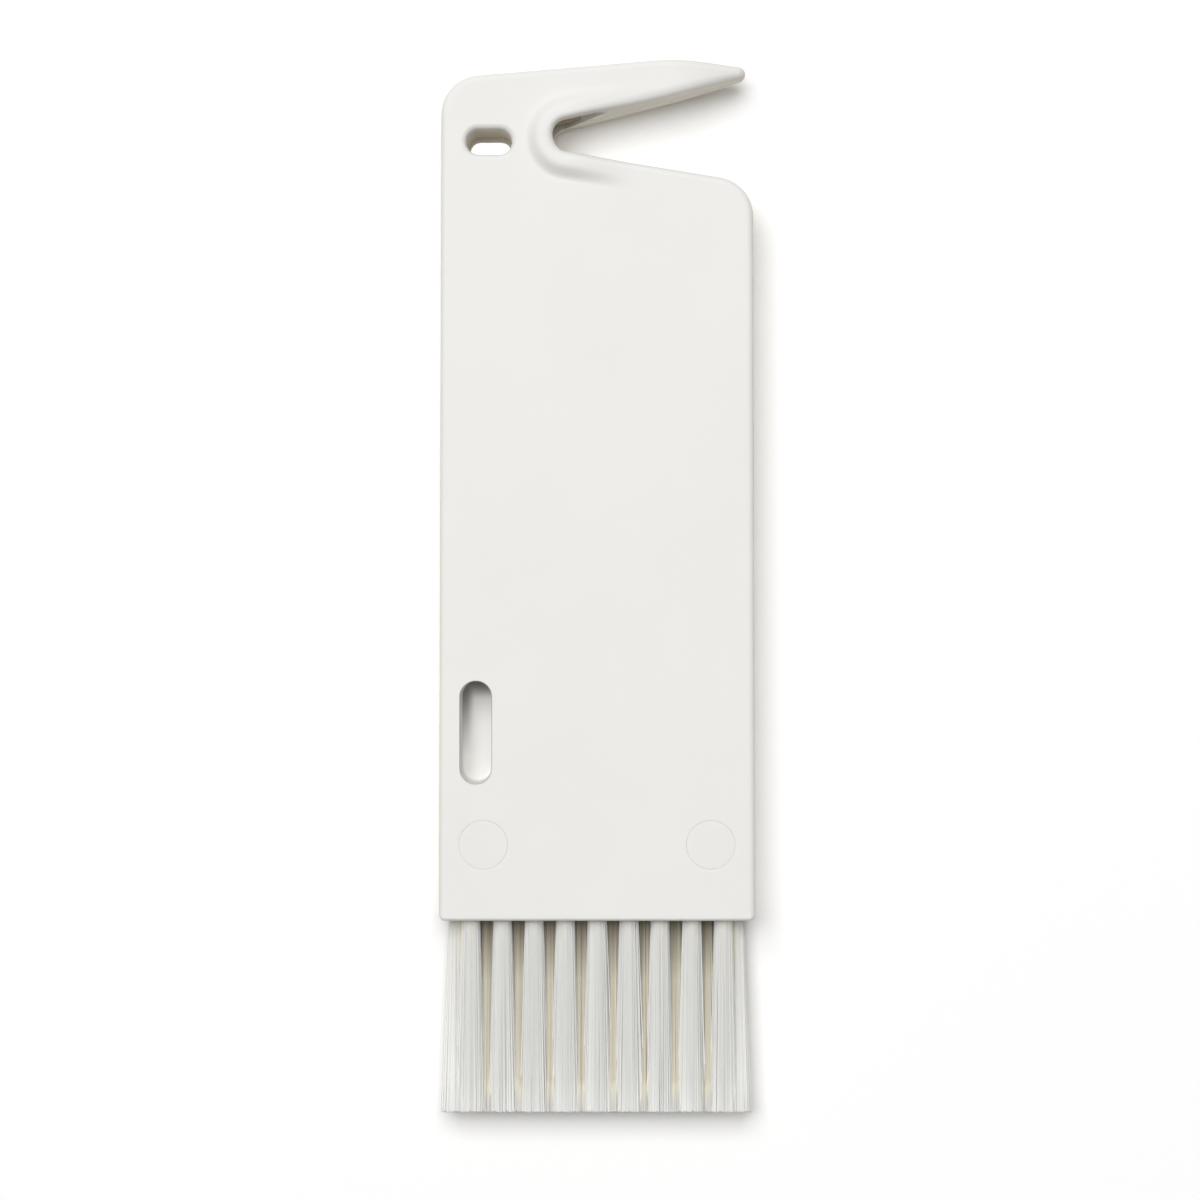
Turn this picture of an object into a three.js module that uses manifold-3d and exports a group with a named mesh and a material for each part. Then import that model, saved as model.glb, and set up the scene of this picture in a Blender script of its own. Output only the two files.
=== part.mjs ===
// A flat cleaning tool for robot vacuums: a two-shell handle with a hooked hair cutter at one end
// and a two-row bristle brush at the other. Millimetres, lying on its back, front face up, hook at +Y.

import * as THREE from 'three';
import { mergeVertices } from 'three/addons/utils/BufferGeometryUtils.js';
import Module from 'manifold-3d';

const wasm = await Module();
wasm.setup();

// Handle
const bodyWidth = 40.4;
const widthDraft = 0.7; // how much narrower the hook end is
const handleLength = 110; // brush end to the crown of the hook
const bodyThickness = 8;
const rimRound = 0.8; // rounding of every outer edge
const shoulderRadius = 5;
const brushCornerRadius = rimRound + 0.05;
const sideWall = 1.6;
const faceWall = 1.2;

// Hook and mouth, measured from the crown of the hook and from the centre line
const throatFromTop = 10;
const throatOffset = -3.66;
const throatRadius = 1.9;
const armAngle = 14.5; // slope of the arm's inner edge, degrees
const mouthAngle = 9.3; // fall of the body's edge below the mouth, degrees
const crownOffset = 11.3;
const crownRadius = 40;
const crownRise = 4.87; // slope of the top edge up to the crown, degrees
const noseFall = 5.8; // slope of the top edge from the crown to the nose, degrees
const noseRadius = rimRound + 0.12;
const noseTaperLength = 10.2;
const noseTipAbove = 1.6; // nose's thickness at its tip, over and under the parting line
const noseTipBelow = 0.9;

// Raised collar round the throat
const collarHeight = 1;
const collarHalfWidth = 1.75;
const collarSetback = 1.8; // throat wall to the collar's crest
const collarLegLength = 9.5;
const collarEndSwell = 0.05; // collar's section at its ends over its full section

// Cord hole and finger recess, measured from the left edge
const cordHoleFromTop = 10.6;
const cordHoleFromEdge = 6.1;
const cordHoleLength = 5.8;
const cordHoleWidth = 3.2;
const recessFromEnd = 24.1;
const recessFromEdge = 4.65;
const recessLength = 13.1;
const recessWidth = 4;
const recessDepth = 6.6; // at the end towards the hook
const recessRunOut = 6.4; // depth at the other end

// Blade in the throat wall
const bladeLength = 11.8;
const bladeHeight = 3.6;
const bladeThickness = 0.5;
const bladeBevel = 1;
const bladeSetback = 0.45; // cutting edge behind the arm's inner wall
const bladeBackReach = 5.6; // how far the blade runs past the throat's end
const bladePegRadius = 0.7;
const bladePegSpacing = 6.8;
const bladeClearance = 0.15;
const windowDepth = 1.3;
const windowHeight = 3.6;
const windowReach = 5;

// Hollow inside the shells
const hollowFromTop = 22;
const ribCount = 3;
const ribThickness = 1.2;
const pegRadius = 1;
const pegHeight = 1.6;
const pegBossRadius = 2.2;
const pegOffset = 9;
const pegInset = 5;
const pegClearance = 0.15;

// Brush insert
const pocketWall = 0.8; // handle side wall beside the insert
const pocketDepth = 13.8;
const insertClearance = 0.1;
const insertRecess = 1.2; // insert's face below the handle's end
const sliceThickness = 1;
const pinRadius = 3.1;
const pinClearance = 0.1;
const pinFromEnd = 9.75;
const pinFromEdge = 5.7;

// Tufts
const frontTuftCount = 9;
const rearTuftCount = 10;
const frontRowMargin = 3.1; // insert's end to the middle of the row's last tuft
const rearRowMargin = 1.45;
const rowSpacing = 2.4;
const tuftHoleRadius = 1.15;
const tuftHoleDepth = 3.4;
const tuftClearance = 0.12;
const bristleLength = 24.6; // what stands out of the handle's end
const strandsPerTuft = 18;
const strandRadius = 0.15;
const tuftFlare = 1.32; // tuft's spread at the tips over its spread at the root
const anchorLength = 1;
const anchorWidth = 2.9;
const anchorThickness = 0.4;
const anchorClearance = 0.1;

// Fineness of round shapes
const arcStep = 11; // degrees
const rodSides = 24;
const pegSides = 12;
const collarSides = 12;

const midPlane = bodyThickness / 2;
const beyond = 2 * bodyThickness; // overshoot of cutting shapes past the faces they leave by
const nothingBelow = -beyond;
const nothingAbove = bodyThickness + beyond;

// Solids

function solidOf(geometry) {
  geometry.deleteAttribute('normal');
  geometry.deleteAttribute('uv');
  const merged = mergeVertices(geometry);
  return new wasm.Manifold(new wasm.Mesh({
    numProp: 3,
    vertProperties: new Float32Array(merged.attributes.position.array),
    triVerts: new Uint32Array(merged.index.array),
  }));
}

function geometryOf(solid) {
  const mesh = solid.getMesh();
  const geometry = new THREE.BufferGeometry();
  geometry.setAttribute('position', new THREE.BufferAttribute(mesh.vertProperties, 3));
  geometry.setIndex(new THREE.BufferAttribute(mesh.triVerts, 1));
  geometry.computeVertexNormals();
  return geometry;
}

function block(low, high) {
  const size = new THREE.Vector3().subVectors(high, low);
  const geometry = new THREE.BoxGeometry(size.x, size.y, size.z);
  geometry.translate(low.x + size.x / 2, low.y + size.y / 2, low.z + size.z / 2);
  return solidOf(geometry);
}

function prism(points, bottom, top) {
  const geometry = new THREE.ExtrudeGeometry(new THREE.Shape(points), {
    depth: top - bottom,
    bevelEnabled: false,
  });
  geometry.translate(0, 0, bottom);
  return solidOf(geometry);
}

function uprightRod(centre, radius, bottom, top, sides) {
  const geometry = new THREE.CylinderGeometry(radius, radius, top - bottom, sides);
  geometry.rotateX(Math.PI / 2);
  geometry.translate(centre.x, centre.y, (bottom + top) / 2);
  return solidOf(geometry);
}

function lengthwiseRod(x, z, radius, start, end, sides) {
  const geometry = new THREE.CylinderGeometry(radius, radius, end - start, sides);
  geometry.translate(x, (start + end) / 2, z);
  return solidOf(geometry);
}

// Turns a section drawn in y and z, with its depth along x, into place
const sectionAcross = new THREE.Matrix4().makeBasis(
  new THREE.Vector3(0, 1, 0),
  new THREE.Vector3(0, 0, 1),
  new THREE.Vector3(1, 0, 0),
);

function joined(solids) {
  return solids.reduce((whole, piece) => whole.add(piece));
}

// Plan outlines

function along(degrees) {
  const angle = THREE.MathUtils.degToRad(degrees);
  return new THREE.Vector2(Math.cos(angle), Math.sin(angle));
}

function meet(a, aWay, b, bWay) {
  const reach = b.clone().sub(a).cross(bWay) / aWay.cross(bWay);
  return a.clone().addScaledVector(aWay, reach);
}

function roundedOutline(corners) {
  const points = [];
  corners.forEach(({ at, radius }, i) => {
    const before = corners.at(i - 1).at;
    const after = corners[(i + 1) % corners.length].at;
    const into = at.clone().sub(before).normalize();
    const out = after.clone().sub(at).normalize();
    const turn = Math.atan2(into.cross(out), into.dot(out));
    const start = at.clone().addScaledVector(into, -radius * Math.tan(Math.abs(turn) / 2));
    const inward = new THREE.Vector2(-into.y, into.x).multiplyScalar(Math.sign(turn) * radius);
    const centre = start.clone().add(inward);
    const steps = Math.max(4, Math.ceil(Math.abs(THREE.MathUtils.radToDeg(turn)) / arcStep));
    for (let k = 0; k <= steps; k += 1) {
      points.push(start.clone().rotateAround(centre, turn * k / steps));
    }
  });
  return points;
}

function stadium(centre, length, width, lengthwise) {
  const half = new THREE.Vector2(length, width).multiplyScalar(0.5);
  const signs = [[-1, -1], [1, -1], [1, 1], [-1, 1]];
  const turn = lengthwise ? Math.PI / 2 : 0;
  const endRadius = 0.499 * width;
  return roundedOutline(signs.map(([sx, sy]) => ({
    at: new THREE.Vector2(sx * half.x, sy * half.y).rotateAround(new THREE.Vector2(), turn).add(centre),
    radius: endRadius,
  })));
}

// Hook's reference points

const armWay = along(armAngle);
const armInward = along(armAngle + 90);
const mouthWay = along(-mouthAngle);
const mouthInward = along(-mouthAngle - 90);
const throat = new THREE.Vector2(throatOffset, handleLength - throatFromTop);
const throatCorner = throat.clone().addScaledVector(
  along((armAngle - mouthAngle) / 2),
  -throatRadius / Math.sin(THREE.MathUtils.degToRad((armAngle + mouthAngle) / 2)),
);
const armWallStart = throat.clone().addScaledVector(armInward, throatRadius);

const sideTilt = THREE.MathUtils.radToDeg(Math.atan2(widthDraft / 2, handleLength));
const brushEndLeft = new THREE.Vector2(-bodyWidth / 2, 0);
const brushEndRight = new THREE.Vector2(bodyWidth / 2, 0);
const leftWay = along(90 - sideTilt);
const rightWay = along(90 + sideTilt);
const crownLift = crownRadius * (
  Math.cos(THREE.MathUtils.degToRad((noseFall - crownRise) / 2))
  / Math.cos(THREE.MathUtils.degToRad((noseFall + crownRise) / 2)) - 1);
const crown = new THREE.Vector2(crownOffset, handleLength + crownLift);
const noseCorner = meet(throatCorner, armWay, crown, along(-noseFall));
const noseTip = noseCorner.clone().addScaledVector(
  along((armAngle - noseFall) / 2),
  noseRadius - noseRadius / Math.sin(THREE.MathUtils.degToRad((armAngle + noseFall) / 2)),
);
const mouthShoulder = meet(brushEndRight, rightWay, throatCorner, mouthWay);
const hookShoulder = meet(brushEndLeft, leftWay, crown, along(crownRise));

function leftEdgeAt(y) {
  return brushEndLeft.x + (widthDraft / 2) * y / handleLength;
}

const cordHoleY = handleLength - cordHoleFromTop;
const cordHole = new THREE.Vector2(leftEdgeAt(cordHoleY) + cordHoleFromEdge, cordHoleY);
const recess = new THREE.Vector2(leftEdgeAt(recessFromEnd) + recessFromEdge, recessFromEnd);

// Handle, before it is parted

function handleOutline() {
  return roundedOutline([
    { at: brushEndLeft, radius: brushCornerRadius },
    { at: brushEndRight, radius: brushCornerRadius },
    { at: mouthShoulder, radius: shoulderRadius },
    { at: throatCorner, radius: throatRadius },
    { at: noseCorner, radius: noseRadius },
    { at: crown, radius: crownRadius },
    { at: hookShoulder, radius: shoulderRadius },
  ]);
}

function roundedPlate() {
  const shape = new THREE.Shape(handleOutline());
  const hole = stadium(cordHole, cordHoleLength, cordHoleWidth, false);
  shape.holes.push(new THREE.Path(hole.reverse()));
  const geometry = new THREE.ExtrudeGeometry(shape, {
    depth: bodyThickness - 2 * rimRound,
    bevelThickness: rimRound,
    bevelSize: rimRound,
    bevelOffset: -rimRound,
    bevelSegments: 3,
  });
  geometry.translate(0, 0, rimRound);
  return solidOf(geometry);
}

// What is taken off one face of the arm so that its nose thins towards the tip
function noseRelief(mirror) {
  const start = noseTip.x - noseTaperLength;
  const knee = noseTip.x - 0.63 * noseTaperLength;
  const level = (z) => (mirror ? bodyThickness - z : z);
  const tipLevel = mirror ? midPlane - noseTipBelow : midPlane + noseTipAbove;
  const shape = new THREE.Shape();
  shape.moveTo(start, level(bodyThickness));
  shape.quadraticCurveTo(knee, level(bodyThickness), noseTip.x, tipLevel);
  shape.lineTo(noseCorner.x, tipLevel);
  shape.lineTo(noseCorner.x, level(nothingAbove));
  shape.lineTo(start, level(nothingAbove));
  const depth = 2 * throatFromTop;
  const geometry = new THREE.ExtrudeGeometry(shape, { depth, bevelEnabled: false, curveSegments: 8 });
  geometry.rotateX(Math.PI / 2);
  geometry.translate(0, throat.y + throatRadius + depth, 0);
  return solidOf(geometry);
}

// Slit in the throat's wall that bares the cutting edge
function bladeWindow() {
  const points = [throat.clone()];
  const last = armWallStart.clone().addScaledVector(armWay, windowReach);
  const sweep = 90;
  const steps = Math.ceil(sweep / arcStep);
  points.push(last);
  for (let k = 0; k <= steps; k += 1) {
    const way = along(armAngle + 90 + sweep * k / steps);
    points.push(throat.clone().addScaledVector(way, throatRadius + windowDepth));
  }
  return prism(points, midPlane - windowHeight / 2, midPlane + windowHeight / 2);
}

// Blind finger recess, a little deeper towards the hook
function fingerRecess() {
  const lowEnd = recess.y + recessLength / 2;
  const highEnd = recess.y - recessLength / 2;
  const section = new THREE.Shape([
    new THREE.Vector2(highEnd, bodyThickness - recessRunOut),
    new THREE.Vector2(lowEnd, bodyThickness - recessDepth),
    new THREE.Vector2(lowEnd, nothingAbove),
    new THREE.Vector2(highEnd, nothingAbove),
  ]);
  const room = new THREE.ExtrudeGeometry(section, { depth: 2 * recessWidth, bevelEnabled: false });
  room.applyMatrix4(sectionAcross);
  room.translate(recess.x - recessWidth, 0, 0);
  const outline = prism(stadium(recess, recessLength, recessWidth, true), nothingBelow, nothingAbove);
  return outline.intersect(solidOf(room));
}

// A place on the collar's crest: reach is 0 round the throat and 1 at the end of a leg
function collarStation(inward, way, reach) {
  const at = throat.clone()
    .addScaledVector(inward, throatRadius + collarSetback)
    .addScaledVector(way, reach * collarLegLength);
  return { at, inward, swell: 1 - (1 - collarEndSwell) * reach };
}

function collarRing({ at, inward, swell }) {
  const ring = [];
  for (let k = 0; k < collarSides; k += 1) {
    const angle = -2 * Math.PI * k / collarSides;
    const out = collarHalfWidth * swell * Math.cos(angle);
    const up = collarHeight * swell * Math.sin(angle);
    ring.push(new THREE.Vector3(at.x + inward.x * out, at.y + inward.y * out, bodyThickness + up));
  }
  return ring;
}

// Soft ridge of oval section that runs along the arm, round the throat and out along the mouth
function collar() {
  const bend = 180 - armAngle - mouthAngle;
  const bendSteps = Math.ceil(bend / arcStep);
  const legSteps = 4;
  const stations = [];
  for (let k = legSteps; k > 0; k -= 1) {
    stations.push(collarStation(armInward, armWay, k / legSteps));
  }
  for (let k = 0; k <= bendSteps; k += 1) {
    stations.push(collarStation(along(armAngle + 90 + bend * k / bendSteps), armWay, 0));
  }
  for (let k = 1; k <= legSteps; k += 1) {
    stations.push(collarStation(mouthInward, mouthWay, k / legSteps));
  }
  return solidOf(skinOver(stations.map(collarRing)));
}

// Closed skin over rings of equal count, with a flat fan on the first and the last
function skinOver(rings) {
  const sides = rings[0].length;
  const positions = rings.flat().flatMap((p) => [p.x, p.y, p.z]);
  const faces = [];
  for (let r = 0; r + 1 < rings.length; r += 1) {
    for (let k = 0; k < sides; k += 1) {
      const a = r * sides + k;
      const b = r * sides + (k + 1) % sides;
      faces.push(a, b, b + sides, a, b + sides, a + sides);
    }
  }
  const lastRing = (rings.length - 1) * sides;
  for (let k = 1; k + 1 < sides; k += 1) {
    faces.push(0, k + 1, k, lastRing, lastRing + k, lastRing + k + 1);
  }
  const geometry = new THREE.BufferGeometry();
  geometry.setAttribute('position', new THREE.Float32BufferAttribute(positions, 3));
  geometry.setIndex(faces);
  return geometry;
}

function wholeHandle() {
  return roundedPlate()
    .subtract(fingerRecess())
    .subtract(noseRelief(false))
    .subtract(noseRelief(true))
    .subtract(bladeWindow());
}

// Blade, made in its own frame: x along the cutting edge, y into the arm, z across the thickness

const bladeTurn = THREE.MathUtils.degToRad(armAngle);
const bladeOrigin = armWallStart.clone()
  .addScaledVector(armWay, -bladeBackReach)
  .addScaledVector(armInward, bladeSetback);
const bladePegs = [-1, 1].map((side) => new THREE.Vector2(
  (bladeLength + side * bladePegSpacing) / 2,
  (bladeHeight + bladeBevel) / 2,
));

function inArmFrame(p) {
  return bladeOrigin.clone().addScaledVector(armWay, p.x).addScaledVector(armInward, p.y);
}

function bladeGeometry() {
  const half = bladeThickness / 2;
  const edge = half / 5;
  const section = new THREE.Shape([
    new THREE.Vector2(0, -edge),
    new THREE.Vector2(bladeBevel, -half),
    new THREE.Vector2(bladeHeight, -half),
    new THREE.Vector2(bladeHeight, half),
    new THREE.Vector2(bladeBevel, half),
    new THREE.Vector2(0, edge),
  ]);
  const bar = new THREE.ExtrudeGeometry(section, { depth: bladeLength, bevelEnabled: false });
  bar.applyMatrix4(sectionAcross);
  const holes = bladePegs.map((peg) => (
    uprightRod(peg, bladePegRadius + bladeClearance, -bladeThickness, bladeThickness, pegSides)));
  return geometryOf(solidOf(bar).subtract(joined(holes)));
}

// Pocket that holds the blade between the shells
function bladePocket() {
  const corners = [
    [-bladeClearance, -bladeClearance],
    [bladeLength + bladeClearance, -bladeClearance],
    [bladeLength + bladeClearance, bladeHeight + bladeClearance],
    [-bladeClearance, bladeHeight + bladeClearance],
  ];
  const half = bladeThickness / 2 + bladeClearance;
  const points = corners.map(([x, y]) => inArmFrame(new THREE.Vector2(x, y)));
  return prism(points, midPlane - half, midPlane + half);
}

// Hollow between the shells

const pocketHalfWidth = bodyWidth / 2 - pocketWall;
const insertHalfWidth = pocketHalfWidth - insertClearance;
const hollowHalfWidth = (bodyWidth - widthDraft) / 2 - sideWall;
const hollowStart = pocketDepth + sideWall;
const hollowEnd = handleLength - hollowFromTop;
const pegPlaces = [hollowStart + pegInset, hollowEnd - pegInset].flatMap((y) => (
  [-pegOffset, pegOffset].map((x) => new THREE.Vector2(x, y))));
const pinX = bodyWidth / 2 - pinFromEdge;
const pinPlaces = [-pinX, pinX].map((x) => new THREE.Vector2(x, pinFromEnd));

function hollow() {
  const bayLength = (hollowEnd - hollowStart - ribCount * ribThickness) / (ribCount + 1);
  const bays = [];
  for (let k = 0; k <= ribCount; k += 1) {
    const start = hollowStart + k * (bayLength + ribThickness);
    bays.push(block(
      new THREE.Vector3(-hollowHalfWidth, start, faceWall),
      new THREE.Vector3(hollowHalfWidth, start + bayLength, bodyThickness - faceWall),
    ));
  }
  const bedLength = recessLength + 2 * sideWall;
  const bedWidth = recessWidth + 2 * sideWall;
  const recessBed = prism(stadium(recess, bedLength, bedWidth, true), nothingBelow, nothingAbove);
  const recessWeb = block(
    new THREE.Vector3(-bodyWidth / 2, recess.y - recessLength / 2, nothingBelow),
    new THREE.Vector3(recess.x, recess.y + recessLength / 2, nothingAbove),
  );
  const bosses = pegPlaces.map((spot) => (
    uprightRod(spot, pegBossRadius, nothingBelow, nothingAbove, rodSides)));
  return joined(bays).subtract(recessBed).subtract(recessWeb).subtract(joined(bosses));
}

function insertPocket() {
  return block(
    new THREE.Vector3(-pocketHalfWidth, -beyond, faceWall),
    new THREE.Vector3(pocketHalfWidth, pocketDepth, bodyThickness - faceWall),
  );
}

const handle = wholeHandle()
  .subtract(hollow())
  .subtract(insertPocket())
  .subtract(bladePocket());

function halfSpace(bottom, top) {
  return block(
    new THREE.Vector3(-bodyWidth, -handleLength, bottom),
    new THREE.Vector3(bodyWidth, 2 * handleLength, top),
  );
}

const pegTop = midPlane + pegHeight;
const socketTop = pegTop + pegClearance;

function frontShellGeometry() {
  const sockets = pegPlaces.map((spot) => (
    uprightRod(spot, pegRadius + pegClearance, nothingBelow, socketTop, pegSides)));
  const bladeSockets = bladePegs.map((peg) => (
    uprightRod(inArmFrame(peg), bladePegRadius + bladeClearance, nothingBelow, socketTop, pegSides)));
  const pinHoles = pinPlaces.map((spot) => (
    uprightRod(spot, pinRadius + pinClearance, midPlane, nothingAbove, rodSides)));
  const shell = handle.intersect(halfSpace(midPlane, nothingAbove)).add(collar());
  return geometryOf(shell.subtract(joined([...sockets, ...bladeSockets, ...pinHoles])));
}

function rearShellGeometry() {
  const bladeSeat = midPlane - bladeThickness / 2 - bladeClearance;
  const pegs = pegPlaces.map((spot) => uprightRod(spot, pegRadius, faceWall, pegTop, pegSides));
  const bladePins = bladePegs.map((peg) => (
    uprightRod(inArmFrame(peg), bladePegRadius, bladeSeat - faceWall, pegTop, pegSides)));
  const shell = handle.intersect(halfSpace(nothingBelow, midPlane));
  return geometryOf(shell.add(joined([...pegs, ...bladePins])));
}

// Brush insert

const insertBottom = faceWall + insertClearance;
const insertTop = bodyThickness - faceWall - insertClearance;
const sliceBack = insertRecess + sliceThickness;
const tuftRootRadius = tuftHoleRadius - tuftClearance;
const anchorEnd = sliceBack + tuftHoleDepth - anchorClearance;
const anchorStart = anchorEnd - anchorLength;

function rowPlaces(count, margin, z) {
  const reach = insertHalfWidth - margin;
  const places = [];
  for (let k = 0; k < count; k += 1) {
    places.push(new THREE.Vector2(-reach + 2 * reach * k / (count - 1), z));
  }
  return places;
}

const frontRow = rowPlaces(frontTuftCount, frontRowMargin, midPlane + rowSpacing / 2);
const rearRow = rowPlaces(rearTuftCount, rearRowMargin, midPlane - rowSpacing / 2);

function brushBlockGeometry() {
  const bar = block(
    new THREE.Vector3(-insertHalfWidth, sliceBack, insertBottom),
    new THREE.Vector3(insertHalfWidth, pocketDepth - insertClearance, insertTop),
  );
  const holeEnd = sliceBack + tuftHoleDepth;
  const cuts = [...frontRow, ...rearRow].flatMap((tuft) => {
    const halfWidth = anchorWidth / 2 + anchorClearance;
    const halfThickness = anchorThickness / 2 + anchorClearance;
    const bore = lengthwiseRod(tuft.x, tuft.y, tuftHoleRadius, 0, holeEnd, pegSides);
    const notch = block(
      new THREE.Vector3(tuft.x - halfWidth, anchorStart - anchorClearance, tuft.y - halfThickness),
      new THREE.Vector3(tuft.x + halfWidth, holeEnd, tuft.y + halfThickness),
    );
    return [bore, notch];
  });
  const pinHoles = pinPlaces.map((spot) => (
    uprightRod(spot, pinRadius + pinClearance, nothingBelow, nothingAbove, rodSides)));
  return geometryOf(bar.subtract(joined([...cuts, ...pinHoles])));
}

function pinGeometry() {
  const bottom = faceWall + insertClearance;
  const geometry = new THREE.CylinderGeometry(pinRadius, pinRadius, bodyThickness - bottom, rodSides);
  geometry.rotateX(Math.PI / 2);
  geometry.translate(0, 0, (bodyThickness + bottom) / 2);
  return geometry;
}

// One row of tufts: three-sided strands that fan out from the row's own slice of the insert
function bristleRowGeometry(row, sliceBottom, sliceTop) {
  const slice = block(
    new THREE.Vector3(-insertHalfWidth, insertRecess, sliceBottom),
    new THREE.Vector3(insertHalfWidth, sliceBack, sliceTop),
  );
  const rootY = insertRecess + sliceThickness / 2;
  const rootEnd = anchorStart - anchorClearance;
  const roots = row.map((tuft) => lengthwiseRod(tuft.x, tuft.y, tuftRootRadius, rootY, rootEnd, pegSides));
  const goldenTurn = Math.PI * (3 - Math.sqrt(5));
  const spread = tuftRootRadius - strandRadius;
  const strands = row.flatMap((tuft) => Array.from({ length: strandsPerTuft }, (_, k) => {
    const reach = spread * Math.sqrt((k + 0.5) / strandsPerTuft);
    const offset = new THREE.Vector2(reach, 0).rotateAround(new THREE.Vector2(), k * goldenTurn);
    return skinOver([
      strandRing(tuft.clone().addScaledVector(offset, tuftFlare), -bristleLength),
      strandRing(tuft.clone().add(offset), rootY),
    ]);
  }));
  return geometryOf(joined([slice, ...roots]).add(solidOf(merged(strands))));
}

function strandRing(centre, y) {
  return [0, 1, 2].map((corner) => {
    const way = along(120 * corner).multiplyScalar(strandRadius);
    return new THREE.Vector3(centre.x + way.x, y, centre.y - way.y);
  });
}

// Many separate closed skins in one geometry
function merged(geometries) {
  const positions = [];
  const faces = [];
  geometries.forEach((geometry) => {
    const first = positions.length / 3;
    positions.push(...geometry.attributes.position.array);
    faces.push(...Array.from(geometry.index.array, (corner) => corner + first));
  });
  const whole = new THREE.BufferGeometry();
  whole.setAttribute('position', new THREE.Float32BufferAttribute(positions, 3));
  whole.setIndex(faces);
  return whole;
}

// Materials

function abs() {
  return new THREE.MeshStandardMaterial({ color: 0xecebe8, roughness: 0.48, metalness: 0 });
}

function polypropylene() {
  return new THREE.MeshStandardMaterial({ color: 0xe4e2dc, roughness: 0.55, metalness: 0 });
}

function nylon() {
  return new THREE.MeshStandardMaterial({ color: 0xe2e1dd, roughness: 0.35, metalness: 0 });
}

function bladeSteel() {
  return new THREE.MeshStandardMaterial({ color: 0xb9bbbd, roughness: 0.25, metalness: 1 });
}

function anchorMetal() {
  return new THREE.MeshStandardMaterial({ color: 0xc9c2b0, roughness: 0.4, metalness: 1 });
}

// Assembly, with the origin under the middle of the whole tool

const tool = new THREE.Group();
tool.position.y = -(handleLength - bristleLength) / 2;

function place(name, geometry, material) {
  const mesh = new THREE.Mesh(geometry, material);
  mesh.name = name;
  tool.add(mesh);
  return mesh;
}

place('front_shell', frontShellGeometry(), abs());
place('rear_shell', rearShellGeometry(), abs());

const blade = place('cutter_blade', bladeGeometry(), bladeSteel());
blade.position.set(bladeOrigin.x, bladeOrigin.y, midPlane);
blade.rotation.z = bladeTurn;

place('brush_block', brushBlockGeometry(), polypropylene());
pinPlaces.forEach((pin) => {
  const side = pin.x < 0 ? 'left' : 'right';
  place(`retaining_pin_${side}`, pinGeometry(), abs()).position.set(pin.x, pin.y, 0);
});

place('bristles_front_row', bristleRowGeometry(frontRow, midPlane, insertTop), nylon());
place('bristles_rear_row', bristleRowGeometry(rearRow, insertBottom, midPlane), nylon());

[['front', frontRow], ['rear', rearRow]].forEach(([name, row]) => {
  row.forEach((tuft, k) => {
    const geometry = new THREE.BoxGeometry(anchorWidth, anchorLength, anchorThickness);
    const anchor = place(`tuft_anchor_${name}_${k + 1}`, geometry, anchorMetal());
    anchor.position.set(tuft.x, (anchorStart + anchorEnd) / 2, tuft.y);
  });
});

export default tool;
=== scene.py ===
# A flat white cleaning tool for robot vacuums, lying on its back and seen from straight above:
# a two-shell handle with a hooked hair cutter at one end and a two-row bristle brush at the other.
import math
import random

import bmesh
import bpy
from mathutils import Euler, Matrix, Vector
from mathutils.geometry import delaunay_2d_cdt


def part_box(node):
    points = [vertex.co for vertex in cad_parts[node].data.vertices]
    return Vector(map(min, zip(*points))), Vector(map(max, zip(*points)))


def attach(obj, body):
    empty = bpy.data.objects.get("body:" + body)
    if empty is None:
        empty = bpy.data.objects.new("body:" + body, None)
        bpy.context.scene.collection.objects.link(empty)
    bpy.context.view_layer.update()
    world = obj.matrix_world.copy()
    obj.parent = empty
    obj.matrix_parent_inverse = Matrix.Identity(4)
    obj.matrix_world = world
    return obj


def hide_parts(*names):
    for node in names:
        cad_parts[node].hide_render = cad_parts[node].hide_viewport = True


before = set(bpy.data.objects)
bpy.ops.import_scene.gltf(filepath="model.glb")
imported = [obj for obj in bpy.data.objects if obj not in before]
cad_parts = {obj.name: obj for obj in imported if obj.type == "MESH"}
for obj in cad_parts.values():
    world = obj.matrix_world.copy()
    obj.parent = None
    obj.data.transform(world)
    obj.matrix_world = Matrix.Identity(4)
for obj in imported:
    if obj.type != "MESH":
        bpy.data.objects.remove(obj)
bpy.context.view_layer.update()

scene = bpy.context.scene
scene.view_settings.view_transform = 'Standard'
bpy.ops.object.select_all(action='DESELECT')

MM = 0.001  # sizes and places below are in millimetres, the objects in metres


def box_of(node):
    """A node's lowest and highest corners, in millimetres."""
    low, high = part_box(node)
    return low / MM, high / MM


front_low, front_high = box_of("front_shell")
rear_low = box_of("rear_shell")[0]
pin_left_low, pin_left_high = box_of("retaining_pin_left")
pin_right_low, pin_right_high = box_of("retaining_pin_right")
block_low, block_high = box_of("brush_block")
front_row_low, front_row_high = box_of("bristles_front_row")

# Levels and ends that the solids give
back_z = rear_low.z
parting_z = front_low.z
face_z = pin_left_high.z
half_thickness = face_z - parting_z
brush_end = front_low.y
crown_y = front_high.y
tips_y = front_row_low.y

# Handle
body_width = 40.4
width_draft = 0.7
handle_length = crown_y - brush_end
rim_round = 0.8
brush_rim_round = 0.45  # the same edge along the brush end
arm_round = 1.4  # edge along the arm's inner side, at its widest
arm_round_drop = 0.6  # that edge's height over its width
arm_round_start = 14  # length over which that edge gets its width and the side's lean runs out
arm_drop_start = 9  # length over which it gets its shallow shape
arm_lean = 0.38  # how far that side leans back from the parting line up
arm_lean_share = 0.15  # most that the lean takes of the arm's width
arm_round_share = 0.5  # most that the edge takes of it
room_share = 0.9  # most that lean and edge take together
lip_round = 1.1  # edge of the throat and of the mouth below it
lip_length = 3  # how far along the mouth that edge keeps its width
lip_run_out = 8  # and the length over which it then narrows
throat_round = 0.65  # edge where the throat turns into the arm
edge_steps = 7  # facets of every outer edge
seam_chamfer = 0.12  # each shell's edge at the parting line
shoulder_radius = 5
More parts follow.
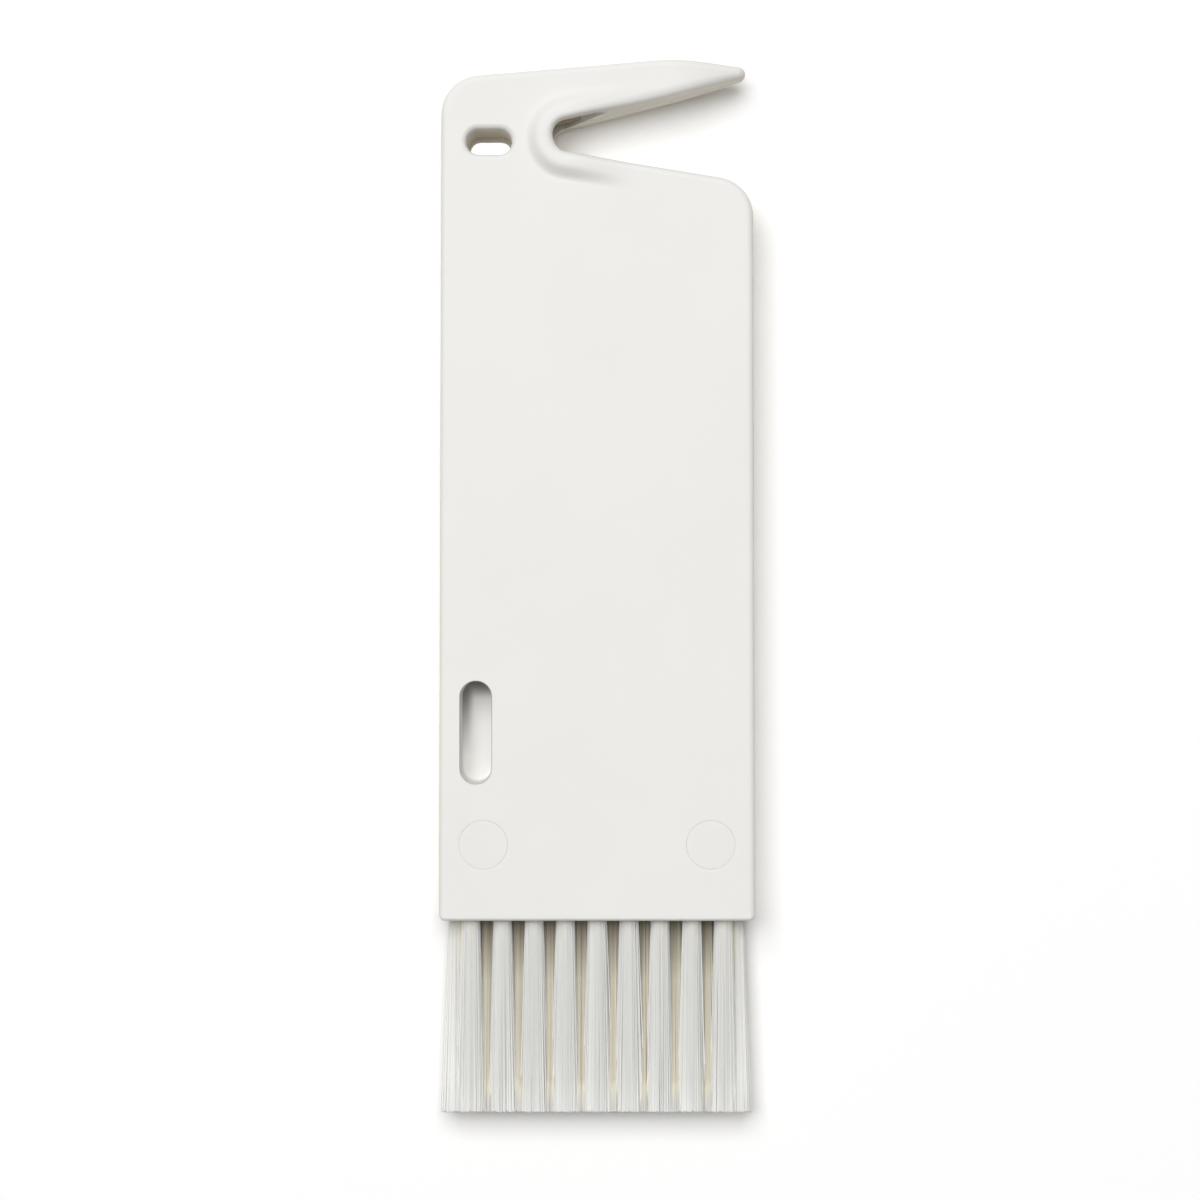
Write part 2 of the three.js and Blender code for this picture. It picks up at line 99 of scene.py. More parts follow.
brush_corner_radius = 0.85
face_wall = 1.2

# Hook and mouth
throat_from_top = 10
throat_offset = -3.66
throat_radius = 1.9
arm_angle = 14.5
mouth_angle = 9.3
crown_offset = 11.3
crown_radius = 40
crown_rise = 4.87
nose_fall = 5.8
nose_radius = 0.92
nose_taper_length = 10.2
nose_tip_above = 1.6  # half-thickness left at the tip, over and under the parting line
nose_tip_below = 0.9
nose_round_power = 1.7  # how late the edges widen towards the tip
nose_drop_power = 2.5  # how late the arm's inner edge deepens there

# Raised collar round the throat
collar_height = 1.2
collar_crest = 1.8  # throat wall to where the collar starts to fall
collar_foot = 3.55  # throat wall to where the collar meets the face
collar_leg = 9.5

# Openings
cord_hole = Vector((-13.78, crown_y - 10.6))
cord_hole_size = Vector((5.8, 3.2))
cord_hole_round = 0.75
recess = Vector((-15.45, brush_end + 24.05))
recess_size = Vector((4.0, 13.1))
recess_depth = 6.6  # at the end towards the hook
recess_run_out = 6.4  # at the other end
recess_edge = 0.1
recess_foot = 0.3  # round where its walls meet its floor
recess_taper = 0.03  # how much each wall leans in down to that round
window_depth = 2.2
window_turn = 90  # degrees of the throat's wall that the slit follows
window_steps = 15
window_reach = 5.8
window_low = 2.6  # the slit's floor at the throat
window_high = 7.8  # the slit's roof at the throat
window_end = Vector((6.4, 7.3))  # floor and roof where the slit ends on the arm

# Brush insert and its pins
pocket_half_width = body_width / 2 - 0.8
pocket_depth = 13.8
insert_face = brush_end + 1.2
tuft_hole_radius = 1.15
tuft_hole_depth = 4.4
tuft_hole_sides = 32
countersink = Vector((0.35, 0.15))  # width and depth of a hole's flared mouth
pin_radius = pin_left_high.x / 2 - pin_left_low.x / 2
pin_edge = Vector((0.2, 0.012))  # width and depth of the chamfer on a pin
pin_hole_edge = Vector((0.32, 0.035))  # and of the one on its hole
pin_gap = 0.018
pin_sides = 96

# Bristles
front_tufts = 9
rear_tufts = 10
front_row_reach = 16.2
rear_row_reach = 17.85
front_row_z = parting_z + 1.2
rear_row_z = parting_z - 1.2
tuft_rings = 6
filament_spacing = 0.092  # along a ring of the tuft
filament_radius = 0.08
front_flare = 1.42
rear_flare = 1.6
side_spread = 0.32  # how much more the loosest filaments at a tuft's sides fan out
trim_slant = 0.15  # how much longer the filaments get per millimetre towards the back
trim_scatter = 0.1
filament_root = 2.2  # how deep in the insert a filament starts
filament_scatter = 0.1  # share by which filaments differ in thickness
tip_swell = 0.5  # share by which a filament is thicker at its tip
tip_squareness = 0.35
steady_spread = 0.02  # how far most tips stand off their place
stray_spread = 0.09  # and how far the strays do
stray_share = 0.08
shade_scatter = 0.02
side_shade = 0.2  # how much paler a tuft's sides are than its middle, as painted light
front_lift = -0.8  # how far the rows' tips close up to each other
rear_lift = 0.9

arc_step = 4.5  # degrees
far_away = 1e3


def way(degrees):
    """The unit step in a direction of the plan."""
    angle = math.radians(degrees)
    return Vector((math.cos(angle), math.sin(angle)))


def meeting(a, a_way, b, b_way):
    """Where two lines of the plan cross."""
    gap = b - a
    reach = (gap.x * b_way.y - gap.y * b_way.x) / (a_way.x * b_way.y - a_way.y * b_way.x)
    return a + a_way * reach


# Hook's reference points
throat = Vector((throat_offset, crown_y - throat_from_top))
half_mouth = math.radians((arm_angle + mouth_angle) / 2)
throat_corner = throat - way((arm_angle - mouth_angle) / 2) * (throat_radius / math.sin(half_mouth))
side_tilt = math.degrees(math.atan2(width_draft / 2, handle_length))
end_left = Vector((-body_width / 2, brush_end))
end_right = Vector((body_width / 2, brush_end))
crown_lift = crown_radius * (math.cos(math.radians((nose_fall - crown_rise) / 2))
                             / math.cos(math.radians((nose_fall + crown_rise) / 2)) - 1)
crown = Vector((crown_offset, crown_y + crown_lift))
nose_corner = meeting(throat_corner, way(arm_angle), crown, way(-nose_fall))
half_nose = math.radians((arm_angle + nose_fall) / 2)
nose_tip = nose_corner + way((arm_angle - nose_fall) / 2) * (nose_radius - nose_radius / math.sin(half_nose))
mouth_shoulder = meeting(end_right, way(90 + side_tilt), throat_corner, way(-mouth_angle))
hook_shoulder = meeting(end_left, way(90 - side_tilt), crown, way(crown_rise))

# Corners of the plan with their radii, and the spacing of points on the edge after each
plan = [
    (end_left, brush_corner_radius, 8),
    (end_right, brush_corner_radius, 8),
    (mouth_shoulder, shoulder_radius, 0.6),
    (throat_corner, throat_radius, 0.6),
    (nose_corner, nose_radius, 0.8),
    (crown, crown_radius, 1.5),
    (hook_shoulder, shoulder_radius, 8),
]
# What each corner and the edge after it are
PLAIN = "plain"
MOUTH_EDGE = "mouth_edge"
THROAT = "throat"
ARM_EDGE = "arm_edge"
NOSE = "nose"
ARM_TOP = "arm_top"
CROWN = "crown"
places = [(PLAIN, PLAIN), (PLAIN, PLAIN), (PLAIN, MOUTH_EDGE), (THROAT, ARM_EDGE),
          (NOSE, ARM_TOP), (CROWN, PLAIN), (PLAIN, PLAIN)]


def plan_points():
    """The handle's outline, anticlockwise, as (point, place) pairs."""
    arcs = []
    for i, (corner, radius, spacing) in enumerate(plan):
        into = (corner - plan[i - 1][0]).normalized()
        out = (plan[(i + 1) % len(plan)][0] - corner).normalized()
        turn = math.atan2(into.x * out.y - into.y * out.x, into.dot(out))
        start = corner - into * (radius * math.tan(abs(turn) / 2))
        side = math.copysign(radius, turn)
        centre = start + Vector((-into.y, into.x)) * side
        steps = max(6, math.ceil(abs(math.degrees(turn)) / arc_step))
        arm = start - centre
        arc = []
        for k in range(steps + 1):
            angle = turn * k / steps
            arc.append(centre + Vector((arm.x * math.cos(angle) - arm.y * math.sin(angle),
                                        arm.x * math.sin(angle) + arm.y * math.cos(angle))))
        arcs.append(arc)
    points = []
    for i, arc in enumerate(arcs):
        points += [(p, places[i][0]) for p in arc]
        first, last = arc[-1], arcs[(i + 1) % len(arcs)][0]
        steps = max(1, math.ceil((last - first).length / plan[i][2]))
        points += [(first.lerp(last, k / steps), places[i][1]) for k in range(1, steps)]
    return points


def ease(t):
    """A soft step from 0 to 1."""
    t = min(1, max(0, t))
    return t * t * (3 - 2 * t)


def skin(name, rings, even_top=False):
    """A closed piece drawn up from ring to ring, starting as a flat disc that is extruded again and again."""
    bpy.ops.object.select_all(action='DESELECT')
    bpy.ops.mesh.primitive_circle_add(vertices=len(rings[0]), radius=MM, fill_type='NGON')
    piece = bpy.context.object
    piece.name = name
    bpy.ops.object.mode_set(mode='EDIT')
    bpy.ops.mesh.select_all(action='SELECT')
    order = list(range(len(rings[0])))
    for level, ring in enumerate(rings):
        if level:
            bpy.ops.mesh.extrude_region_move()
        shape = bmesh.from_edit_mesh(piece.data)
        shape.verts.ensure_lookup_table()
        if level:
            order = [next(edge.other_vert(shape.verts[i]).index for edge in shape.verts[i].link_edges
                          if edge.other_vert(shape.verts[i]).select) for i in order]
        for i, point in zip(order, ring):
            shape.verts[i].co = Vector(point) * MM
        bmesh.update_edit_mesh(piece.data)
    if even_top:
        # A curved top takes the shortest triangles that there are between its edge points.
        bpy.ops.mesh.delete(type='ONLY_FACE')
        shape = bmesh.from_edit_mesh(piece.data)
        shape.verts.ensure_lookup_table()
        rim = [shape.verts[i] for i in order]
        edges = [(k, (k + 1) % len(rim)) for k in range(len(rim))]
        flat = [Vector(point[:2]) for point in rings[-1]]
        for corners in delaunay_2d_cdt(flat, edges, [], 1, 1e-7)[2]:
            shape.faces.new([rim[k] for k in corners])
        bmesh.update_edit_mesh(piece.data)
    bpy.ops.mesh.select_all(action='SELECT')
    bpy.ops.mesh.quads_convert_to_tris(ngon_method='BEAUTY')
    bpy.ops.mesh.select_all(action='SELECT')
    bpy.ops.mesh.normals_make_consistent(inside=False)
    bpy.ops.object.mode_set(mode='OBJECT')
    return piece


def block(name, low, high):
    """A rectangular cutter."""
    bpy.ops.object.select_all(action='DESELECT')
    size = Vector(high) - Vector(low)
    bpy.ops.mesh.primitive_cube_add(size=1, location=(Vector(low) + size / 2) * MM, scale=size * MM)
    bpy.context.object.name = name
    bpy.ops.object.transform_apply(location=True, rotation=True, scale=True)
    return bpy.context.object


def cut(piece, *cutters):
    """Takes the cutters' room out of a piece."""
    for cutter in cutters:
        bpy.context.view_layer.objects.active = piece
        bpy.ops.object.modifier_add(type='BOOLEAN')
        modifier = piece.modifiers[-1]
        modifier.operation = 'DIFFERENCE'
        modifier.solver = 'EXACT'
        modifier.object = cutter
        bpy.ops.object.modifier_apply(modifier=modifier.name)


def discard(*pieces):
    for piece in pieces:
        bpy.data.objects.remove(piece)


def smooth(piece, degrees):
    """Smooth faces that keep the flat ones flat and edges sharper than the angle sharp."""
    bpy.ops.object.select_all(action='DESELECT')
    piece.select_set(True)
    bpy.context.view_layer.objects.active = piece
    bpy.ops.object.shade_smooth_by_angle(angle=math.radians(degrees))
    bpy.ops.object.modifier_add(type='WEIGHTED_NORMAL')
    piece.modifiers[-1].keep_sharp = True
    bpy.ops.object.modifier_apply(modifier=piece.modifiers[-1].name)


def own_copy(piece, name, shift):
    """A second piece with a mesh of its own, moved by a shift in millimetres."""
    bpy.ops.object.select_all(action='DESELECT')
    piece.select_set(True)
    bpy.context.view_layer.objects.active = piece
    bpy.ops.object.duplicate(linked=False)
    twin = bpy.context.object
    twin.name = name
    twin.location = Vector(shift) * MM
    bpy.ops.object.transform_apply(location=True, rotation=False, scale=False)
    return twin


# Shells


def shell(name, front):
    """One half of the handle, from the parting line over the rim to the face."""
    points = plan_points()
    count = len(points)
    mouth_start = throat + way(-mouth_angle - 90) * throat_radius
    arm_start = throat + way(arm_angle + 90) * throat_radius
    inward, room = [], []
    for i in range(count):
        onward = points[(i + 1) % count][0] - points[i - 1][0]
        inward.append(Vector((-onward.y, onward.x)).normalized())
    # Room is the radius of the largest disc that touches the outline at a point and stays inside.
    for i, (p, _) in enumerate(points):
        widest = far_away
        for q, _ in points:
            gap = q - p
            depth = gap.dot(inward[i])
            if depth > 1e-4:
                widest = min(widest, gap.length_squared / (2 * depth))
        room.append(widest)

    columns = []
    for i, (p, place) in enumerate(points):
        reach = 0.0 if place == THROAT else far_away
        if place == MOUTH_EDGE:
            reach = (p - mouth_start).length
        if place == ARM_EDGE:
            reach = (p - arm_start).length
        raised = (1 - ease(reach / collar_leg)) if front else 0.0
        round_in, lean, drop = rim_round, 0.0, 1.0
        if place == PLAIN:
            round_in += (brush_rim_round - rim_round) * max(0.0, inward[i].y)
        if front and place == MOUTH_EDGE:
            round_in += (lip_round - rim_round) * (1 - ease((reach - lip_length) / lip_run_out))
        if front and place == THROAT:
            toward_arm = ease((p - throat).normalized().dot(way(arm_angle + 90)))
            round_in = lip_round + (throat_round - lip_round) * toward_arm
            lean = arm_lean * toward_arm
        if front and place == ARM_EDGE:
            widens = ease(reach / arm_round_start)
            lean = min(arm_lean * (1 - widens), arm_lean_share * room[i])
            round_in = min(throat_round + (arm_round - throat_round) * widens, arm_round_share * room[i])
            drop += (arm_round_drop - 1) * ease(reach / arm_drop_start)
        on_arm = place in (ARM_EDGE, NOSE, ARM_TOP, CROWN)
        tip = min(1, max(0, 1 - (nose_tip.x - p.x) / nose_taper_length)) if on_arm else 0.0
        round_in += (room[i] - round_in) * tip ** nose_round_power
        round_in = min(round_in, room_share * room[i] - lean)
        most_up = half_thickness - 2 * seam_chamfer
        round_up = min(max(round_in * drop, rim_round), most_up)
        deepens = tip ** nose_drop_power if place == ARM_EDGE else tip
        round_up += (most_up - round_up) * deepens
        crest = lean + round_in
        last = max(crest + 0.05 * round_in, min(collar_foot + 0.15, room_share * room[i]))

        def lift(depth):
            fall = ease((depth - collar_crest) / (collar_foot - collar_crest))
            return collar_height * raised * (1 - fall)

        profile = [(seam_chamfer, 0.0), (0.0, seam_chamfer), (lean, half_thickness - round_up + lift(lean))]
        for k in range(1, edge_steps + 1):
            angle = math.radians(90 * k / edge_steps)
            depth = lean + round_in * (1 - math.cos(angle))
            profile.append((depth, half_thickness - round_up + round_up * math.sin(angle) + lift(depth)))
        for share in (0.07, 0.2, 0.34, 0.48, 0.62, 0.76, 0.9, 1.0):
            depth = crest + share * (last - crest)
            profile.append((depth, half_thickness + lift(depth)))
        column = []
        for depth, height in profile:
            spot = p + inward[i] * depth
            thin = 1.0
            if on_arm:
                share = min(1, max(0, 1 - (nose_tip.x - spot.x) / nose_taper_length))
                thin = 1 - (1 - (nose_tip_above if front else nose_tip_below) / half_thickness) * share ** 2
            rise = height * thin if front else -height * thin
            column.append((spot.x, spot.y, parting_z + rise))
        columns.append(column)
    rings = [[column[level] for column in columns] for level in range(len(columns[0]))]
    return skin(name, rings, even_top=True)


def round_ended(size, steps):
    """Plan of a round-ended opening: each point's centre and the way it lies from there, and the radius."""
    radius = min(size) / 2
    straight = size / 2 - Vector((radius, radius))
    quarters = [(1, 1), (-1, 1), (-1, -1), (1, -1)]
    outline = []
    for quarter, (sx, sy) in enumerate(quarters):
        nx, ny = quarters[(quarter + 1) % 4]
        shared = (straight.x * sx, straight.y * sy) == (straight.x * nx, straight.y * ny)
        for k in range(steps if shared else steps + 1):
            outline.append((Vector((straight.x * sx, straight.y * sy)), way(90 * quarter + 90 * k / steps)))
    return outline, radius


def opening(name, centre, size, edge_round):
    """Cutter for a round-ended hole whose edges are softened on both faces."""
    outline, radius = round_ended(size, 12)
    profile = [(edge_round * 1.2, face_z + 1.5)]
    for k in range(7):
        angle = math.radians(78 - 13 * k)
        profile.append((edge_round * (1 - math.cos(angle)), face_z - edge_round * (1 - math.sin(angle))))
    profile += [(wide, face_z + back_z - z) for wide, z in reversed(profile)]
    rings = []
    for wide, z in reversed(profile):
        rings.append([(*(centre + middle + out * (radius + wide)), z) for middle, out in outline])
    return skin(name, rings)


def finger_recess():
    """Cutter for the blind finger recess: upright walls and a flat floor that falls towards the hook."""
    outline, radius = round_ended(recess_size, 14)
    rings = [[(*(recess + middle + out * (radius + wide)), face_z + up) for middle, out in outline]
             for wide, up in ((2 * recess_edge, 1.0), (recess_edge, 0.0), (0.0, -2 * recess_edge))]
    for angle in (0, 30, 60, 90):
        inset = recess_taper + recess_foot * (1 - math.cos(math.radians(angle)))
        up = recess_foot * (1 - math.sin(math.radians(angle)))
        ring = []
        for middle, out in outline:
            spot = middle + out * (radius - inset)
            depth = recess_run_out + (recess_depth - recess_run_out) * (0.5 + spot.y / recess_size.y)
            ring.append((*(recess + spot), face_z - depth + up))
        rings.append(ring)
    return skin("finger_recess", rings)


def circle(radius, sides):
    """The points of a circle round the origin."""
    turns = [2 * math.pi * k / sides for k in range(sides)]
    return [(radius * math.cos(turn), radius * math.sin(turn)) for turn in turns]


def upright_round(name, x, y, profile):
    """A round piece on an upright axis, from its radii and levels."""
    return skin(name, [[(x + across, y + along_y, z) for across, along_y in circle(radius, pin_sides)]
                       for radius, z in profile])


def round_hole(name, x, y, radius, bottom, chamfer):
    """Cutter for a pin's hole, with a small chamfer at the face."""
    return upright_round(name, x, y, [(radius, bottom), (radius, face_z - chamfer.y),
                                      (radius + 2 * chamfer.x, face_z + chamfer.y)])


def blade_window():
    """Cutter for the slit in the throat's wall that bares the cutting edge."""
    arm_point = throat + way(arm_angle + 90) * throat_radius + way(arm_angle) * window_reach
    outline = [(throat, window_low, window_high), (arm_point, *window_end)]
    for k in range(window_steps + 1):
        turn = arm_angle + 90 + window_turn * k / window_steps
        spot = throat + way(turn) * (throat_radius + window_depth)
        outline.append((spot, window_low, window_high))
    return skin("blade_window", [[(*spot, low) for spot, low, high in outline],
                                 [(*spot, high) for spot, low, high in outline]])


front_shell = shell("moulded_front_shell", True)
rear_shell = shell("moulded_rear_shell", False)
cord_cutter = opening("cord_hole", cord_hole, cord_hole_size, cord_hole_round)
recess_cutter = finger_recess()
window_cutter = blade_window()
pocket_cutter = block("insert_pocket", (-pocket_half_width, brush_end - 3, back_z + face_wall),
                      (pocket_half_width, brush_end + pocket_depth, face_z - face_wall))
pin_places = [((low.x + high.x) / 2, (low.y + high.y) / 2)
              for low, high in ((pin_left_low, pin_left_high), (pin_right_low, pin_right_high))]
pin_cutters = [round_hole("pin_hole", x, y, pin_radius + pin_gap, parting_z, pin_hole_edge)
               for x, y in pin_places]
cut(front_shell, cord_cutter, recess_cutter, window_cutter, pocket_cutter, *pin_cutters)
cut(rear_shell, cord_cutter, recess_cutter, window_cutter, pocket_cutter)
discard(cord_cutter, recess_cutter, window_cutter, pocket_cutter, *pin_cutters)
smooth(front_shell, 40)
smooth(rear_shell, 40)


# Retaining pins


def retaining_pin(name, x, y):
    """A flush pin with a chamfered head."""
    return upright_round(name, x, y, [(pin_radius - pin_edge.x, pin_left_low.z),
                                      (pin_radius, pin_left_low.z + pin_edge.x),
                                      (pin_radius, face_z - pin_edge.y),
                                      (pin_radius - pin_edge.x, face_z)])


pin_left = retaining_pin("moulded_pin_left", *pin_places[0])
smooth(pin_left, 30)
pin_right = own_copy(pin_left, "moulded_pin_right",
                     (pin_places[1][0] - pin_places[0][0], pin_places[1][1] - pin_places[0][1], 0))


# Brush insert


def row_places(count, reach, z):
    """Where a row's tufts leave the insert."""
    return [(-reach + 2 * reach * k / (count - 1), z) for k in range(count)]


front_places = row_places(front_tufts, front_row_reach, front_row_z)
rear_places = row_places(rear_tufts, rear_row_reach, rear_row_z)


def tuft_hole(x, z):
    """Cutter for one tuft's hole, slightly countersunk."""
    profile = [(tuft_hole_radius + countersink.x, insert_face - 0.2),
               (tuft_hole_radius, insert_face + countersink.y),
               (tuft_hole_radius, insert_face + tuft_hole_depth)]
    return skin("tuft_hole", [[(x + across, y, z + up) for across, up in circle(radius, tuft_hole_sides)]
                              for radius, y in profile])


insert = block("drilled_insert", (block_low.x, insert_face, block_low.z), block_high)
tuft_cutters = [tuft_hole(x, z) for x, z in front_places + rear_places]
pin_rooms = [round_hole("pin_room", x, y, pin_radius + pin_gap, back_z - 1, pin_hole_edge)
             for x, y in pin_places]
cut(insert, *tuft_cutters, *pin_rooms)
discard(*tuft_cutters, *pin_rooms)
smooth(insert, 30)


# Bristles


def filament():
    """One nylon filament of unit length along -Y, four-sided, in stretches, with its cut end closed in."""
    bpy.ops.object.select_all(action='DESELECT')
    bpy.ops.mesh.primitive_circle_add(vertices=4, radius=1, fill_type='NGON', rotation=(math.pi / 2, 0, 0))
    strand = bpy.context.object
    bpy.ops.object.transform_apply(location=True, rotation=True, scale=True)
    bpy.ops.object.mode_set(mode='EDIT')
    bpy.ops.mesh.select_all(action='SELECT')
    for length in (0.12, 0.1, 0.18, 0.25, 0.2, 0.145, 0.005):
        bpy.ops.mesh.extrude_region_move(TRANSFORM_OT_translate={"value": (0, -length, 0)})
    bpy.ops.transform.resize(value=(0.6, 1, 0.6))
    bpy.ops.mesh.select_all(action='SELECT')
    bpy.ops.mesh.normals_make_consistent(inside=False)
    bpy.ops.object.mode_set(mode='OBJECT')
    return strand


def along(stops, t):
    """The value at t between the stops of a line."""
    for (a, low), (b, high) in zip(stops, stops[1:]):
        if t <= b:
            return low + (high - low) * (t - a) / (b - a)
    return stops[-1][1]


def bristle_row(name, spots, flare, lift, tone_stops, seed):
    """One row of tufts: copies of the filament that leave their holes side by side and fan out to the tips.

    The tips rise by the lift. The filaments at the brush's two ends are paler than the row's own tones, as
    painted light."""
    draw = random.Random(seed)
    strand = filament()
    corners = [v.co.copy() for v in strand.data.vertices]
    sides = [tuple(face.vertices) for face in strand.data.polygons]
    discard(strand)
    root_y = insert_face + filament_root
    rings = []
    for ring in range(tuft_rings):
        reach = (tuft_hole_radius - 0.1) * math.sqrt(1 - ring / tuft_rings)
        count = round(2 * math.pi * reach / filament_spacing)
        rings += [(reach, 2 * math.pi * (k + 0.5 * (ring % 2)) / count) for k in range(count)]
    points, faces, tones = [], [], []
    for x, z in spots:
        for reach, turn in rings:
            root = Vector((reach * math.cos(turn), reach * math.sin(turn)))
            # Towards the tips a tuft's round section becomes squarer.
            square = 1 / max(abs(math.cos(turn)), abs(math.sin(turn))) ** tip_squareness
            stray = stray_spread if draw.random() < stray_share else steady_spread
            tip = root * flare * square + Vector((draw.gauss(0, stray), draw.gauss(0, stray)))
            tip.x *= 1 + side_spread * draw.random() ** 2 * ease(abs(math.cos(turn)) * 2.5 - 1.5)
            bow = Vector((draw.gauss(0, stray / 2), draw.gauss(0, stray / 2)))
            tip.y += lift
            tip_y = tips_y + abs(draw.gauss(0, trim_scatter)) - trim_slant * (front_row_high.z - z - tip.y)
            thick = filament_radius * draw.uniform(1 - filament_scatter, 1 + filament_scatter)
            spin = draw.uniform(0, math.pi / 2)
            # Painted light and shade: a tuft's sides paler than its middle on top of a random tone; filaments
            # near the brush's ends take the paler outer tones.
            shade = draw.gauss(0, shade_scatter) + side_shade * (abs(root.x) / tuft_hole_radius - 0.5)
            inner = ease((rear_row_reach + 0.4 - abs(x + root.x)) / 1.6)
            first = len(points)
            for corner in corners:
                t = max(0.0, -corner.y)
                place = root.lerp(tip, t) + bow * math.sin(math.pi * t)
                out = Vector((corner.x * math.cos(spin) - corner.z * math.sin(spin),
                              corner.x * math.sin(spin) + corner.z * math.cos(spin)))
                out = out * thick * (1 + tip_swell * t)
                spot = Vector((x + place.x + out.x, root_y + (tip_y - root_y) * t, z + place.y + out.y))
                points.append(spot * MM)
                pale = along(outer_tones, t)
                tones.append(min(1, max(0, pale + (along(tone_stops, t) - pale) * inner + shade)))
            faces += [tuple(first + v for v in face) for face in sides]
    shape = bpy.data.meshes.new(name)
    shape.from_pydata(points, [], faces)
    shape.attributes.new("filament_tone_and_shade", 'FLOAT', 'POINT').data.foreach_set("value", tones)
    row = bpy.data.objects.new(name, shape)
    scene.collection.objects.link(row)
    bpy.ops.object.select_all(action='DESELECT')
    row.select_set(True)
    bpy.context.view_layer.objects.active = row
    bpy.ops.object.shade_smooth_by_angle(angle=math.radians(100))
    return row


# Painted light and shade from root to tip: white where the light falls, darker at the roots, brown and then
# straw in the shade between the tufts
open_tones = [(0, 0.6), (0.12, 0.72), (0.22, 0.79), (0.65, 0.79), (0.85, 0.83), (1, 0.97)]
outer_tones = [(0, 0.6), (0.12, 0.7), (0.22, 0.8), (1, 0.96)]
hidden_tones = [(0, 0.1), (0.12, 0.1), (0.22, 0.2), (0.4, 0.42), (0.65, 0.44), (0.85, 0.48), (1, 0.88)]
front_bristles = bristle_row("nylon_front_row", front_places, front_flare, front_lift, open_tones, seed=11)
rear_bristles = bristle_row("nylon_rear_row", rear_places, rear_flare, rear_lift, hidden_tones, seed=23)


# Materials

painted_shade_reach = 5  # how near the walls of a corner are that takes the painted shade
painted_shade_openness = 0.52  # share of open sky from which no painted shade stays
painted_shade_start_y = 36  # the painted shade starts here and is full from there on, towards the hook
painted_shade_full_y = 48
shadow_end = Vector((4.0, 6.1))  # where the painted shadow starts and is full, from the recess's middle towards the hook
shadow_side = Vector((0.3, 1.55))  # and towards its left wall
shadow_run_out = Vector((-3.2, 4.5))  # along that wall, from no painted shadow to all of it


def tone(code):
    """An sRGB hex colour as linear red, green, blue and alpha."""
    parts = [int(code[i:i + 2], 16) / 255 for i in (1, 3, 5)]
    return tuple(c / 12.92 if c <= 0.04045 else ((c + 0.055) / 1.055) ** 2.4 for c in parts) + (1.0,)


def add(tree, kind, settings=None, values=None, links=None):
    """Adds a node with its settings, socket values and links."""
    node = tree.nodes.new(kind)
    for name, value in (settings or {}).items():
        setattr(node, name, value)
    for socket, value in (values or {}).items():
        node.inputs[socket].default_value = value
    for socket, source in (links or {}).items():
        tree.links.new(source, node.inputs[socket])
    return node


def per_metre(size_mm):
    """A noise scale that gives a pattern of a real size."""
    return 1 / (size_mm * MM)


def finish_named(name):
    """A new material without nodes, and its node tree."""
    finish = bpy.data.materials.new(name)
    finish.use_nodes = True
    finish.node_tree.nodes.clear()
    return finish, finish.node_tree


def moulded_abs(name, pale, deep):
    # Injection-moulded ABS from a fine satin tool: an even, slightly warm white with soft wide highlights,
    # faint cloudy flow marks some 12 mm across and a grain too small to see one by one.
    finish, tree = finish_named(name)
    where = add(tree, 'ShaderNodeTexCoord')
    cloud = add(tree, 'ShaderNodeTexNoise', values={"Scale": per_metre(12), "Detail": 2.0, "Roughness": 0.5},
                links={"Vector": where.outputs["Object"]})
    unshaded = add(tree, 'ShaderNodeMix', {"data_type": 'RGBA'}, {6: tone(deep), 7: tone(pale)},
                {0: cloud.outputs["Fac"]})
    # Painted shade: a tan tint, laid on by ambient occlusion in the hook's corners and creases, where shade
    # falls.
    nook = add(tree, 'ShaderNodeAmbientOcclusion', {"samples": 8}, {"Distance": painted_shade_reach * MM})
    painted_shade = add(tree, 'ShaderNodeMapRange', values={"From Min": 0.0, "From Max": painted_shade_openness},
               links={"Value": nook.outputs["AO"]})
    apart = add(tree, 'ShaderNodeSeparateXYZ', links={"Vector": where.outputs["Object"]})
    hook_end = add(tree, 'ShaderNodeMapRange',
                   values={"From Min": painted_shade_full_y * MM, "From Max": painted_shade_start_y * MM},
                   links={"Value": apart.outputs["Y"]})
    no_painted_shade = add(tree, 'ShaderNodeMath', {"operation": 'MAXIMUM'},
               links={0: painted_shade.outputs["Result"], 1: hook_end.outputs["Result"]})
    colour = add(tree, 'ShaderNodeMix', {"data_type": 'RGBA'}, {6: tone("#C9BA9C")},
                 {0: no_painted_shade.outputs["Value"], 7: unshaded.outputs[2]})
    # The real grain is about 0.05 mm. It is drawn at 0.4 mm so that the render can show it.
    grain = add(tree, 'ShaderNodeTexNoise', values={"Scale": per_metre(0.4), "Detail": 3.0, "Roughness": 0.6},
                links={"Vector": where.outputs["Object"]})
    gloss = add(tree, 'ShaderNodeMapRange', values={"To Min": 0.52, "To Max": 0.64},
                links={"Value": grain.outputs["Fac"]})
    relief = add(tree, 'ShaderNodeBump', values={"Strength": 0.06, "Distance": 0.02 * MM},
                 links={"Height": grain.outputs["Fac"]})
    surface = add(tree, 'ShaderNodeBsdfPrincipled', values={"IOR": 1.54},
                  links={"Base Color": colour.outputs[2], "Roughness": gloss.outputs["Result"],
                         "Normal": relief.outputs["Normal"]})
    add(tree, 'ShaderNodeOutputMaterial', links={"Surface": surface.outputs["BSDF"]})
    return finish


